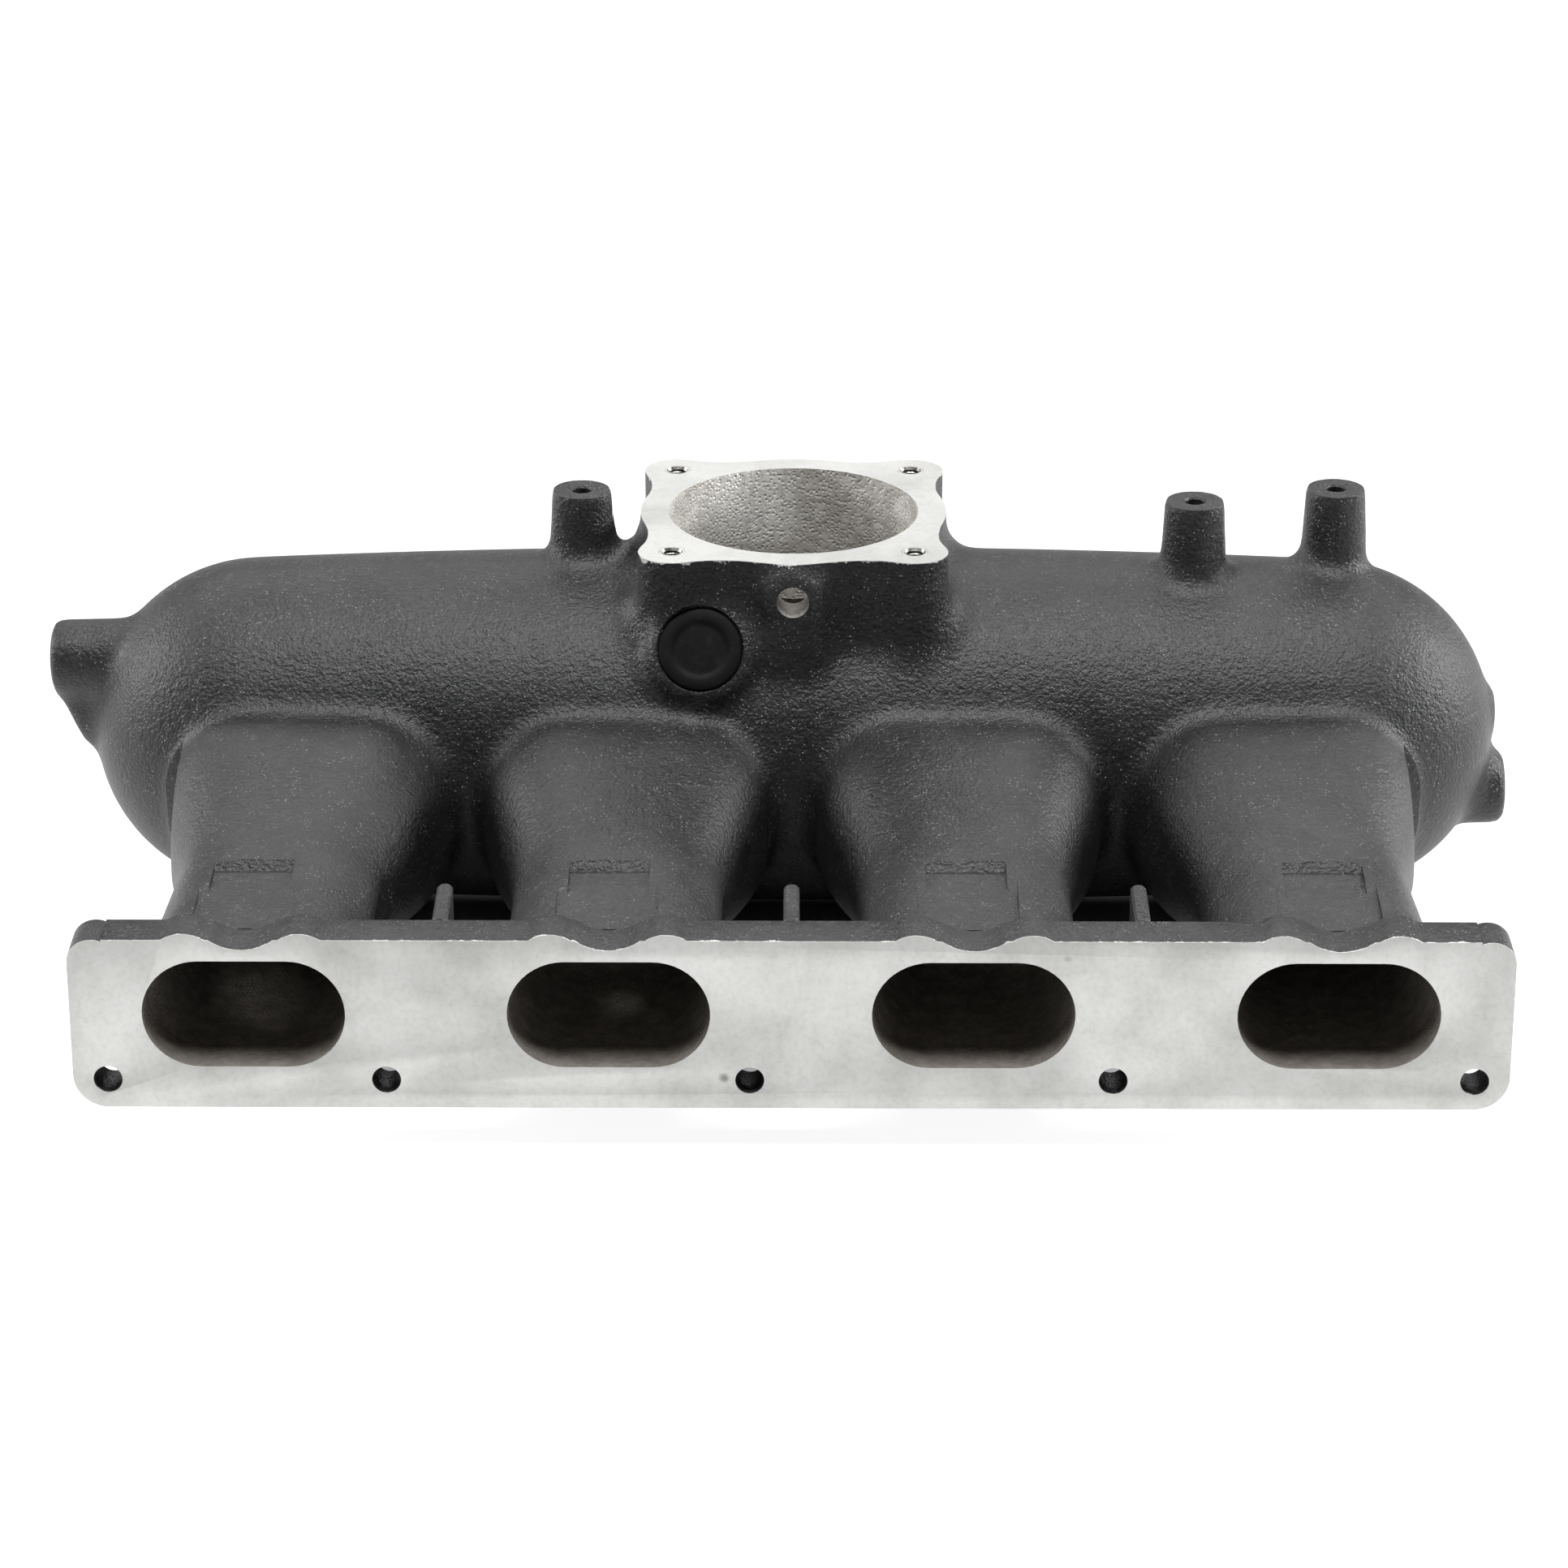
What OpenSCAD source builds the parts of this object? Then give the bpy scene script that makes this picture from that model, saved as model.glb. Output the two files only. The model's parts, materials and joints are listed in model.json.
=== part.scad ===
// Cast intake manifold for an inline four-cylinder engine.
// Origin: centre of the cylinder-head face, level with the middle of the ports.
// X runs along the row of ports, -Y points into the cylinder head, +Z is up.

/* [Cylinder-head flange] */
// Length of the flange along the row of ports
flange_length = 348; // [346:1:352]
// Thickness of the flange
flange_thickness = 12; // [10:0.5:14]
// From the middle of the ports up to the top edge
flange_rise = 19.6; // [19:0.1:21]
// From the middle of the ports down to the bottom edge
flange_drop = 25; // [24.5:0.5:27]
// Distance between neighbouring ports
port_pitch = 88; // [87:0.5:90]
// Width of a port at the head face
port_width = 49; // [46:0.5:50]
// Height of a port at the head face
port_height = 28; // [26:0.5:29]
// Diameter of the clearance holes for the head bolts
head_bolt_d = 7; // [6.6:0.1:7.4]
// From the middle of the ports down to the row of head bolts
head_bolt_drop = 17.5; // [17:0.5:18]
// Distance between the two outermost head bolts
head_bolt_span = 331; // [329:1:332]
// Sideways shift of the three inner head bolts from the gaps between the ports
head_bolt_shift = -10; // [-11:0.5:-9]

/* [Runners] */
// Wall thickness of a runner
runner_wall = 4; // [3.5:0.5:5]
// Outer width of a runner where it joins the plenum
bell_width = 74; // [72:0.5:76]
// Outer height of a runner where it joins the plenum
bell_height = 56; // [52:1:58]
// Sideways offset of the two inner runners at the plenum
inner_bell_x = 43; // [43:0.5:44]
// Sideways offset of the two outer runners at the plenum
outer_bell_x = 126; // [125:0.5:128]
// Outer width of a runner at its waist, between the flange and the plenum
waist_width = 54; // [53:0.5:56]
// Outer height of a runner at its waist
waist_height = 39; // [38:0.5:41]
// Width of the injector relief on top of a runner
relief_width = 20; // [16:1:22]

/* [Plenum] */
// Distance from the head face to the plenum axis
plenum_y = 158; // [157:1:160]
// Height of the plenum axis above the middle of the ports
plenum_z = 11; // [10:0.5:12]
// Overall length of the plenum between its domed ends
plenum_length = 374; // [370:1:378]
// Radius of the domed ends
end_radius = 44.5; // [44:0.5:45]
// How much fatter the plenum is in the middle than at the ends
barrel_swell = 3; // [2:0.5:4]
// Wall thickness of the plenum
plenum_wall = 4; // [3.5:0.5:5]

/* [Throttle flange] */
// Distance from the head face to the middle of the throttle bore
throttle_y = 163; // [161:1:165]
// Height of the machined throttle face above the middle of the ports
throttle_z = 70; // [69:0.5:72]
// Thickness of the throttle flange
throttle_thickness = 8; // [7:0.5:9]
// Diameter of the throttle bore
throttle_bore_d = 66; // [64:0.5:68]
// Side of the square body of the throttle flange
throttle_square = 74; // [72:0.5:75]
// Side of the square of throttle bolts
throttle_bolt_square = 63; // [62:0.5:64]
// Radius of the round body of the throttle flange
throttle_round_r = 40; // [39:0.5:40.5]
// Radius of the four corner lobes
throttle_lobe_r = 8.5; // [8:0.5:9]
// Inner diameter of a thread insert
insert_bore_d = 5; // [4.8:0.1:5.2]
// Outer diameter of a thread insert
insert_outer_d = 7; // [6.6:0.1:7.4]
// Depth of a thread insert
insert_depth = 12; // [10:0.5:13]

/* [Bosses and ports] */
// Height of the tops of the three bracket bosses
bracket_top_z = 76; // [74:0.5:78]
// Diameter of a bracket boss at its top
bracket_top_d = 16; // [14:0.5:17]
// Diameter of a bracket boss at its foot
bracket_foot_d = 21; // [20:0.5:22]
// Diameter of the tapped hole in a bracket boss
bracket_hole_d = 5; // [4.5:0.1:5.2]
// Depth of the tapped hole in a bracket boss
bracket_hole_depth = 14; // [12:1:15]
// Diameter of the plugged sensor port
sensor_bore_d = 22; // [21:0.5:22.5]
// Outer diameter of the sensor port boss
sensor_boss_d = 27; // [26.5:0.5:28]
// Upward tilt of the sensor port
sensor_tilt = 30; // [28:1:32]
// Diameter of the vacuum port
vacuum_bore_d = 8.4; // [8:0.1:9]
// Outer diameter of the arch round the vacuum port
vacuum_boss_d = 14; // [13:0.5:16]
// Diameter of the left end boss
left_boss_d = 21; // [20:0.5:22]
// Diameter of the right end boss
right_boss_d = 20; // [18:0.5:21]

/* [Hidden] */

$fn = 64;
casting_colour = [0.16, 0.17, 0.17];
machined_colour = [0.82, 0.82, 0.80];
rubber_colour = [0.05, 0.05, 0.05];
steel_colour = [0.72, 0.72, 0.68];

flange_height = flange_rise + flange_drop;
flange_top_corner = 6;
flange_bottom_corner = 8.5;
hump_rise = 1.6;
dip_depth = 2.6;
hump_x = 14;
hump_width = 9;
dip_width = 13;
inner_bolt_gaps = [-1, 0, 1];

port_x = [for (i = [-1.5 : 1 : 1.5]) i * port_pitch];
bell_x = [-outer_bell_x, -inner_bell_x, inner_bell_x, outer_bell_x];
waist_y = 58;
bell_y = 112;
bell_end_y = 150;
duct_bell_width = bell_width - 14;
duct_bell_height = bell_height - 12;
waist_share = (waist_y - flange_thickness) / (bell_y - flange_thickness);
bell_z = 2;
// Steps of the injector relief, from the plenum side: [end of the step in Y, height of its floor]
relief_steps = [[46, 17.6], [32, 16.8]];

rib_pitch = 85;
rib_width = 4;
rib_length = 22;
rib_height = 9;

dome_x = plenum_length / 2 - end_radius;
cap_x = plenum_length / 2 - 22;
barrel_steps = 3;

neck_round_r = throttle_round_r + 1;
neck_lobe_r = throttle_lobe_r + 0.5;
neck_foot_z = plenum_z + 8;
neck_square = throttle_square + 2;
lobe_offset = throttle_bolt_square / 2;

// Foot of each bracket boss: [x, y]
bracket_left = [-56, 162];
bracket_inner = [105.5, 154];
bracket_outer = [143.5, 164];

sensor_x = -24;
sensor_face = [sensor_x, 119, 47.7];
sensor_boss_length = 24;
sensor_bore_depth = 10;
sensor_passage_d = 12;
plug_radius = sensor_bore_d / 2 - 0.08;
plug_length = 9;
plug_recess_r = 7;
groove_y = 5.5;
ring_section_r = 1;
ring_centre_r = sensor_bore_d / 2 - 0.06 - ring_section_r;

vacuum_face_y = 119.5;
vacuum_z = 60.4;
vacuum_depth = 9;

left_boss_tip = -198;
left_boss_yz = [157, 30];
right_boss_tip = 191.5;
right_boss_yz = [157, -6.5];
pad_tip = 188;
pad_yz = [158, 15];
pad_d = 14;

// Radius of the plenum at a distance x from the middle
function barrel_r(x) = end_radius + barrel_swell * (1 - pow(x / dome_x, 2));

// Point on a domed end at angle a, for a dome of radius r centred at distance x
function dome_point(a, x, r) = [r * cos(a), x + r * sin(a)];

// Outline of a slot-shaped port, width by height, upright in the XZ plane
module obround(width, height) {
    square([width - height, height], center = true);
    for (side = [-1, 1]) {
        translate([side * (width - height) / 2, 0]) circle(d = height);
    }
}

// Slot-shaped bar centred on x and z, from y = start, running towards +Y
module port_bar(x, z, start, length, width, height) {
    translate([x, start + length, z])
        rotate([90, 0, 0]) linear_extrude(length) obround(width, height);
}

// Half outline of the plenum, grown by "grow": radius first, then distance along X
function plenum_profile(grow) = concat(
    [[0, -dome_x - end_radius - grow]],
    [for (a = [-80 : 10 : -10]) dome_point(a, -dome_x, end_radius + grow)],
    [for (i = [-barrel_steps : barrel_steps])
        [barrel_r(i / barrel_steps * dome_x) + grow, i / barrel_steps * dome_x]],
    [for (a = [10 : 10 : 80]) dome_point(a, dome_x, end_radius + grow)],
    [[0, dome_x + end_radius + grow]]
);

// Turns a half outline about the plenum axis
module plenum_turned() {
    translate([0, plenum_y, plenum_z]) rotate([0, 90, 0]) rotate_extrude($fn = 160) children();
}

// The plenum's outer shape as a solid, grown by "grow"
module plenum_solid(grow) {
    plenum_turned() polygon(plenum_profile(grow));
}

// The plenum's wall between x = from and x = to
module plenum_shell(from, to) {
    plenum_turned() intersection() {
        difference() {
            polygon(plenum_profile(0));
            polygon(plenum_profile(-plenum_wall));
        }
        translate([0, from]) square([100, to - from]);
    }
}

// Shape along runner number i: root to waist, then waist to bell.
// Each size is [width, height]; root_y is where the root section starts and bell_end where the bell stops.
module tapers(i, at_root, at_waist, at_bell, root_y, bell_end) {
    waist_x = port_x[i] + waist_share * (bell_x[i] - port_x[i]);
    hull() {
        port_bar(port_x[i], 0, root_y, flange_thickness - root_y + 0.5, at_root[0], at_root[1], $fn = 32);
        port_bar(waist_x, waist_share * bell_z, waist_y, 0.5, at_waist[0], at_waist[1], $fn = 32);
    }
    hull() {
        port_bar(waist_x, waist_share * bell_z, waist_y, 0.5, at_waist[0], at_waist[1], $fn = 32);
        port_bar(bell_x[i], bell_z, bell_y, bell_end - bell_y, at_bell[0], at_bell[1], $fn = 32);
    }
}

// Mouth of runner number i's passage through the plenum wall
module duct_mouth(i) {
    port_bar(bell_x[i], bell_z, bell_y - 10, bell_end_y - bell_y + 10, duct_bell_width, duct_bell_height);
}

// Passage inside runner number i, from the back of the flange into the plenum
module duct(i) {
    tapers(i, [port_width, port_height],
        [waist_width - 2 * runner_wall, waist_height - 2 * runner_wall],
        [duct_bell_width, duct_bell_height], flange_thickness - 1, bell_end_y);
}

// Stepped flat on top of runner number i that clears an injector
module injector_relief(i) {
    for (step = relief_steps) {
        translate([port_x[i] - relief_width / 2, flange_thickness - 1, step[1]])
            cube([relief_width, step[0] - flange_thickness + 1, 20]);
    }
}

// Square-lobed outline shared by the throttle flange and its neck
module throttle_outline(side, round_r, lobe_r) {
    square(side, center = true);
    circle(r = round_r, $fn = 96);
    for (sx = [-1, 1]) {
        for (sy = [-1, 1]) {
            translate([sx * lobe_offset, sy * lobe_offset]) circle(r = lobe_r);
        }
    }
}

// Bore through the throttle flange and neck into the plenum
module throttle_bore() {
    translate([0, throttle_y, plenum_z]) cylinder(d = throttle_bore_d, h = 100, $fn = 96);
}

// Places a shape at each of the four throttle bolts, on the machined face
module at_throttle_bolts() {
    for (sx = [-1, 1]) {
        for (sy = [-1, 1]) {
            translate([sx * lobe_offset, throttle_y + sy * lobe_offset, throttle_z]) children();
        }
    }
}

// Turns a shape drawn along +Z so that it points into the sensor port from its face
module at_sensor_port() {
    translate(sensor_face) rotate([-90 - sensor_tilt, 0, 0]) children();
}

module sensor_boss_body(length) {
    at_sensor_port() cylinder(d = sensor_boss_d, h = length);
}

// Clear way for the plug in front of the sensor port's face
module sensor_way_out() {
    at_sensor_port() translate([0, 0, -16]) cylinder(d = sensor_bore_d + 2, h = 16.5);
}

module vacuum_boss_body(depth) {
    translate([0, vacuum_face_y + depth, vacuum_z]) rotate([90, 0, 0]) cylinder(d = vacuum_boss_d, h = depth);
    translate([-vacuum_boss_d / 2, vacuum_face_y, vacuum_z - 21]) cube([vacuum_boss_d, depth, 21]);
}

module vacuum_bore() {
    translate([0, throttle_y, vacuum_z]) rotate([90, 0, 0]) cylinder(d = vacuum_bore_d, h = throttle_y);
}

module sensor_passage() {
    at_sensor_port() cylinder(d = sensor_passage_d, h = 60);
}

module head_flange() {
    color(machined_colour) difference() {
        translate([0, flange_thickness, 0]) rotate([90, 0, 0]) linear_extrude(flange_thickness) {
            difference() {
                union() {
                    flange_outline();
                    for (x = port_x) {
                        for (side = [-1, 1]) {
                            translate([x + side * hump_x, flange_rise - hump_width + hump_rise])
                                circle(r = hump_width);
                        }
                    }
                }
                for (x = port_x) {
                    translate([x, flange_rise + dip_width - dip_depth]) circle(r = dip_width);
                }
            }
        }
        for (i = [0 : 3]) {
            port_bar(port_x[i], 0, -1, flange_thickness + 2, port_width, port_height);
        }
        for (x = concat([for (i = inner_bolt_gaps) i * port_pitch + head_bolt_shift],
                        [-head_bolt_span / 2, head_bolt_span / 2])) {
            translate([x, flange_thickness + 1, -head_bolt_drop])
                rotate([90, 0, 0]) cylinder(d = head_bolt_d, h = flange_thickness + 2);
        }
    }
}

// Flange plate outline with rounded corners
module flange_outline() {
    half = flange_length / 2;
    translate([-half + flange_bottom_corner, -flange_drop])
        square([flange_length - 2 * flange_bottom_corner, flange_height]);
    translate([-half, -flange_drop + flange_bottom_corner])
        square([flange_length, flange_height - flange_bottom_corner - flange_top_corner]);
    for (side = [-1, 1]) {
        translate([side * (half - flange_bottom_corner), -flange_drop + flange_bottom_corner])
            circle(r = flange_bottom_corner);
        translate([side * (half - flange_top_corner), flange_rise - flange_top_corner])
            circle(r = flange_top_corner);
    }
}

module runner(i) {
    color(casting_colour) difference() {
        tapers(i, [port_width + 2 * runner_wall, port_height + 2 * runner_wall],
            [waist_width, waist_height], [bell_width, bell_height], flange_thickness, bell_end_y - 5);
        duct(i);
        injector_relief(i);
        plenum_solid(0);
    }
}

module rib(i) {
    x = i * rib_pitch;
    color(casting_colour) {
        translate([x - rib_width / 2, flange_thickness, flange_rise - rib_height])
            cube([rib_width, rib_length - rib_width / 2, rib_height]);
        translate([x, flange_thickness + rib_length - rib_width / 2, flange_rise - rib_height])
            cylinder(d = rib_width, h = rib_height);
    }
}

module plenum_barrel() {
    color(casting_colour) difference() {
        plenum_shell(-cap_x, cap_x);
        throttle_bore();
        for (i = [0 : 3]) duct_mouth(i);
        sensor_boss_body(sensor_boss_length);
        sensor_passage();
    }
}

module plenum_dome(side) {
    color(casting_colour) plenum_shell(side > 0 ? cap_x : -plenum_length, side > 0 ? plenum_length : -cap_x);
}

module throttle_neck() {
    color(casting_colour) difference() {
        translate([0, throttle_y, neck_foot_z])
            linear_extrude(throttle_z - throttle_thickness - neck_foot_z)
            throttle_outline(neck_square, neck_round_r, neck_lobe_r);
        plenum_solid(0);
        throttle_bore();
        sensor_boss_body(sensor_boss_length);
        sensor_passage();
        sensor_way_out();
        vacuum_boss_body(vacuum_depth);
        vacuum_bore();
        at_throttle_bolts() {
            translate([0, 0, -insert_depth]) cylinder(d = insert_outer_d, h = insert_depth);
        }
    }
}

module throttle_flange() {
    color(machined_colour) difference() {
        translate([0, throttle_y, throttle_z - throttle_thickness])
            linear_extrude(throttle_thickness)
            throttle_outline(throttle_square, throttle_round_r, throttle_lobe_r);
        throttle_bore();
        at_throttle_bolts() {
            translate([0, 0, -insert_depth]) cylinder(d = insert_outer_d, h = insert_depth + 1);
        }
        vacuum_boss_body(vacuum_depth);
        vacuum_bore();
    }
}

module throttle_thread_inserts() {
    color(steel_colour) at_throttle_bolts() {
        translate([0, 0, -insert_depth]) difference() {
            cylinder(d = insert_outer_d, h = insert_depth);
            translate([0, 0, -1]) cylinder(d = insert_bore_d, h = insert_depth + 2);
        }
    }
}

module bracket_boss(place) {
    color(casting_colour) difference() {
        translate([place[0], place[1], plenum_z + 30]) {
            cylinder(d1 = bracket_foot_d, d2 = bracket_top_d, h = bracket_top_z - plenum_z - 30);
        }
        plenum_solid(0);
        translate([place[0], place[1], bracket_top_z - bracket_hole_depth])
            cylinder(d = bracket_hole_d, h = bracket_hole_depth + 1);
    }
}

module sensor_port_boss() {
    color(casting_colour) difference() {
        sensor_boss_body(sensor_boss_length);
        at_sensor_port() translate([0, 0, -1]) cylinder(d = sensor_bore_d, h = sensor_bore_depth + 1);
        sensor_passage();
        throttle_bore();
        plenum_solid(-plenum_wall);
    }
}

module blanking_plug() {
    color(rubber_colour) at_sensor_port() rotate_extrude() difference() {
        square([plug_radius, plug_length]);
        translate([0, -1]) square([plug_recess_r, 2]);
        translate([ring_centre_r, groove_y]) circle(r = ring_section_r);
        translate([ring_centre_r, groove_y - ring_section_r]) square([5, 2 * ring_section_r]);
    }
}

module plug_o_ring() {
    color(rubber_colour) at_sensor_port() rotate_extrude()
        translate([ring_centre_r, groove_y]) circle(r = ring_section_r);
}

module vacuum_port_boss() {
    color(casting_colour) difference() {
        vacuum_boss_body(vacuum_depth);
        vacuum_bore();
        plenum_solid(0);
        sensor_boss_body(sensor_boss_length);
    }
}

module left_end_boss() {
    color(casting_colour) difference() {
        union() {
            translate([left_boss_tip, left_boss_yz[0], left_boss_yz[1]])
                rotate([0, 90, 0]) cylinder(d = left_boss_d, h = 40);
            translate([left_boss_tip + 8.5, left_boss_yz[0] - 6.5, left_boss_yz[1] - 23.5])
                cube([35, 13, 24]);
        }
        plenum_solid(0);
    }
}

module right_end_boss() {
    color(casting_colour) difference() {
        translate([right_boss_tip - 30, right_boss_yz[0], right_boss_yz[1]])
            rotate([0, 90, 0]) cylinder(d = right_boss_d, h = 30);
        plenum_solid(0);
    }
}

module right_end_pad() {
    color(casting_colour) difference() {
        translate([pad_tip - 20, pad_yz[0], pad_yz[1]]) rotate([0, 90, 0]) cylinder(d = pad_d, h = 20);
        plenum_solid(0);
    }
}

head_flange();
runner(0);  // runner_1
runner(1);  // runner_2
runner(2);  // runner_3
runner(3);  // runner_4
rib(-1);  // rib_left
rib(0);  // rib_middle
rib(1);  // rib_right
plenum_barrel();
plenum_dome(-1);  // plenum_left_dome
plenum_dome(1);  // plenum_right_dome
throttle_neck();
throttle_flange();
throttle_thread_inserts();
bracket_boss(bracket_left);  // bracket_boss_left
bracket_boss(bracket_inner);  // bracket_boss_inner
bracket_boss(bracket_outer);  // bracket_boss_outer
sensor_port_boss();
blanking_plug();
plug_o_ring();
vacuum_port_boss();
left_end_boss();
right_end_boss();
right_end_pad();
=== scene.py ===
"""Looks of a cast intake manifold: a casting cut into named parts, machined faces, inserts and a plug."""

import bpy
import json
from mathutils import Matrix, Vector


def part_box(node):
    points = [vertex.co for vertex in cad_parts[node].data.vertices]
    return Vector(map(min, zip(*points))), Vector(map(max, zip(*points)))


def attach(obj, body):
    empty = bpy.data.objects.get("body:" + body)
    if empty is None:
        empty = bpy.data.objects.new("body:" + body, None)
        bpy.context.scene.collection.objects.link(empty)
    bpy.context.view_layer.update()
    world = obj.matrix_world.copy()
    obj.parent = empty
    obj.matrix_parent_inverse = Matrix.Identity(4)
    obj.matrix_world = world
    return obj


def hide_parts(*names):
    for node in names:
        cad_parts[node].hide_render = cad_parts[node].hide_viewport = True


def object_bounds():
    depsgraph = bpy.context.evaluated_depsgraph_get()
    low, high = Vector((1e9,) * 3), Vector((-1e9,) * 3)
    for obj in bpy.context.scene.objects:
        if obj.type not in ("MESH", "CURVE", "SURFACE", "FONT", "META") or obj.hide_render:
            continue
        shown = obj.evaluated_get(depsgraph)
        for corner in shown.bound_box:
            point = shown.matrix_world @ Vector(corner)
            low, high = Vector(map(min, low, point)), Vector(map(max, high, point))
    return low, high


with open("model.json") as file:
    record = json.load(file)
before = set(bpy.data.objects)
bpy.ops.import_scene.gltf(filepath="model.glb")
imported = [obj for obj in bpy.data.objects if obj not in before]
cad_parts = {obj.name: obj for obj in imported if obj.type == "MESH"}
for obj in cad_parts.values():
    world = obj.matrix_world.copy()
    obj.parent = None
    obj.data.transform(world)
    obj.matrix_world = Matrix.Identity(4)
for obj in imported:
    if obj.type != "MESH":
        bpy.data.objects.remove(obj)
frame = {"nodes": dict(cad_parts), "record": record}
CAD_BOX = [list(corner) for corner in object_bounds()]

import json
import logging
import math
from dataclasses import dataclass, field
from enum import Enum, IntEnum
from typing import Dict, Iterable, List, Optional, Sequence, Tuple

import bmesh
import bpy
from mathutils import Matrix, Vector
from mathutils.bvhtree import BVHTree

logging.basicConfig(level=logging.INFO, format="%(message)s")
LOG = logging.getLogger("manifold")
MM = 0.001
SIDES = (-1, 1)
CORNERS = [(x, y) for x in SIDES for y in SIDES]

Triple = Tuple[float, float, float]
Mesh = bmesh.types.BMesh
Face = bmesh.types.BMFace
Material = bpy.types.Material
Object = bpy.types.Object


def mm(*values: float) -> Vector:
    """A vector given in millimetres, in metres."""
    return Vector(values) * MM


def mount(name: str) -> Triple:
    """Position of one of the record's mounts, in millimetres."""
    found = next(item for item in frame["record"]["mounts"] if item["name"] == name)
    return tuple(round(value / MM, 4) for value in found["pos_m"])


THROTTLE = mount("throttle_face")
THROTTLE_BOLT = 31.5
PORT_PITCH = 88.0
SENSOR_FACE = (-24.0, 119.0, 47.7)
SENSOR_WAY = (0.0, 0.8660254, -0.5)


# ---- shader graphs


class Wire:
    """A shader socket that takes part in Python expressions."""

    def __init__(self, graph: "Graph", socket: bpy.types.NodeSocket) -> None:
        """Wraps a socket of a graph."""
        self.graph = graph
        self.socket = socket

    def _math(self, operation: str, *values: object) -> "Wire":
        """Adds a Math node and returns its output."""
        return self.graph.node("ShaderNodeMath", {"operation": operation}, dict(enumerate(values)))

    def __add__(self, other: object) -> "Wire":
        """Sum."""
        return self._math("ADD", self, other)

    __radd__ = __add__

    def __sub__(self, other: object) -> "Wire":
        """Difference."""
        return self._math("SUBTRACT", self, other)

    def __rsub__(self, other: object) -> "Wire":
        """Reflected difference."""
        return self._math("SUBTRACT", other, self)

    def __mul__(self, other: object) -> "Wire":
        """Product."""
        return self._math("MULTIPLY", self, other)

    __rmul__ = __mul__

    def absolute(self) -> "Wire":
        """The value without its sign."""
        return self._math("ABSOLUTE", self)

    def span(self, low: float, high: float, start: float = 0.0, end: float = 1.0) -> "Wire":
        """Maps the range low..high smoothly onto start..end, clamped."""
        return self.graph.node(
            "ShaderNodeMapRange",
            {"interpolation_type": "SMOOTHSTEP"},
            {"Value": self, "From Min": low, "From Max": high, "To Min": start, "To Max": end},
        )


class Graph:
    """Builds one node material."""

    def __init__(self, name: str) -> None:
        """Starts an empty node material."""
        self.material = bpy.data.materials.new(name)
        self.material.use_nodes = True
        self.tree = self.material.node_tree
        self.tree.nodes.clear()

    def node(self, kind: str, settings: Dict[str, object], sockets: Dict[object, object],
             out: object = 0) -> Wire:
        """Adds a node.

        Args:
            kind: The node's type.
            settings: Properties that are set first, such as an operation.
            sockets: Values or wires by socket name or number.
            out: Name or number of the output that is wanted.

        Returns:
            The wanted output as a wire.
        """
        made = self.tree.nodes.new(kind)
        for key, value in settings.items():
            setattr(made, key, value)
        for key, value in sockets.items():
            if isinstance(value, Wire):
                self.tree.links.new(value.socket, made.inputs[key])
            else:
                made.inputs[key].default_value = value
        return Wire(self, made.outputs[out])

    def place(self) -> Wire:
        """Object coordinates in metres."""
        return self.node("ShaderNodeTexCoord", {}, {}, "Object")

    def axes(self, vector: Wire) -> Tuple[Wire, Wire, Wire]:
        """Splits a vector.

        Args:
            vector: The vector.

        Returns:
            Its x, y and z.
        """
        x = self.node("ShaderNodeSeparateXYZ", {}, {0: vector}, 0)
        node = x.socket.node
        return x, Wire(self, node.outputs[1]), Wire(self, node.outputs[2])

    def noise(self, place: Wire, scale: float, detail: float = 3.0, roughness: float = 0.55) -> Wire:
        """Noise with cells of about one over scale metres."""
        return self.node("ShaderNodeTexNoise", {}, {"Vector": place, "Scale": scale, "Detail": detail,
                                                    "Roughness": roughness}, 0)

    def cells(self, place: Wire, scale: float) -> Wire:
        """Distance to the nearest of scattered points."""
        return self.node("ShaderNodeTexVoronoi", {}, {"Vector": place, "Scale": scale})

    def stretch(self, place: Wire, by: Sequence[float]) -> Wire:
        """Scales the pattern's coordinates along each axis."""
        return self.node("ShaderNodeVectorMath", {"operation": "MULTIPLY"}, {0: place, 1: tuple(by)})

    def blend(self, share: object, first: object, second: object) -> Wire:
        """Mixes two colours.

        Args:
            share: How much of the second colour there is, from 0 to 1.
            first: The first colour.
            second: The second colour.

        Returns:
            The mixed colour.
        """
        made = self.tree.nodes.new("ShaderNodeMix")
        made.data_type = "RGBA"
        for key, value in ((0, share), (6, first), (7, second)):
            if isinstance(value, Wire):
                self.tree.links.new(value.socket, made.inputs[key])
            else:
                made.inputs[key].default_value = value if key == 0 else (*value, 1.0)
        return Wire(self, made.outputs[2])

    def bump(self, height: Wire, strength: float, distance: float, under: Optional[Wire] = None) -> Wire:
        """Raises the surface's shading.

        Args:
            height: Pattern of the relief.
            strength: Share of the relief that shows.
            distance: Height of the relief in metres.
            under: Normal that the relief lies on, if any.

        Returns:
            The new normal.
        """
        sockets: Dict[object, object] = {"Height": height, "Strength": strength, "Distance": distance}
        if under is not None:
            sockets["Normal"] = under
        return self.node("ShaderNodeBump", {}, sockets)

    def finish(self, **sockets: object) -> Material:
        """Adds the surface shader and the output.

        Args:
            **sockets: Values or wires by socket name, with underscores for spaces.

        Returns:
            The finished material.
        """
        named = {key.replace("_", " "): value for key, value in sockets.items()}
        shader = self.node("ShaderNodeBsdfPrincipled", {}, named)
        output = self.tree.nodes.new("ShaderNodeOutputMaterial")
        self.tree.links.new(shader.socket, output.inputs["Surface"])
        return self.material


# ---- finishes


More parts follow.
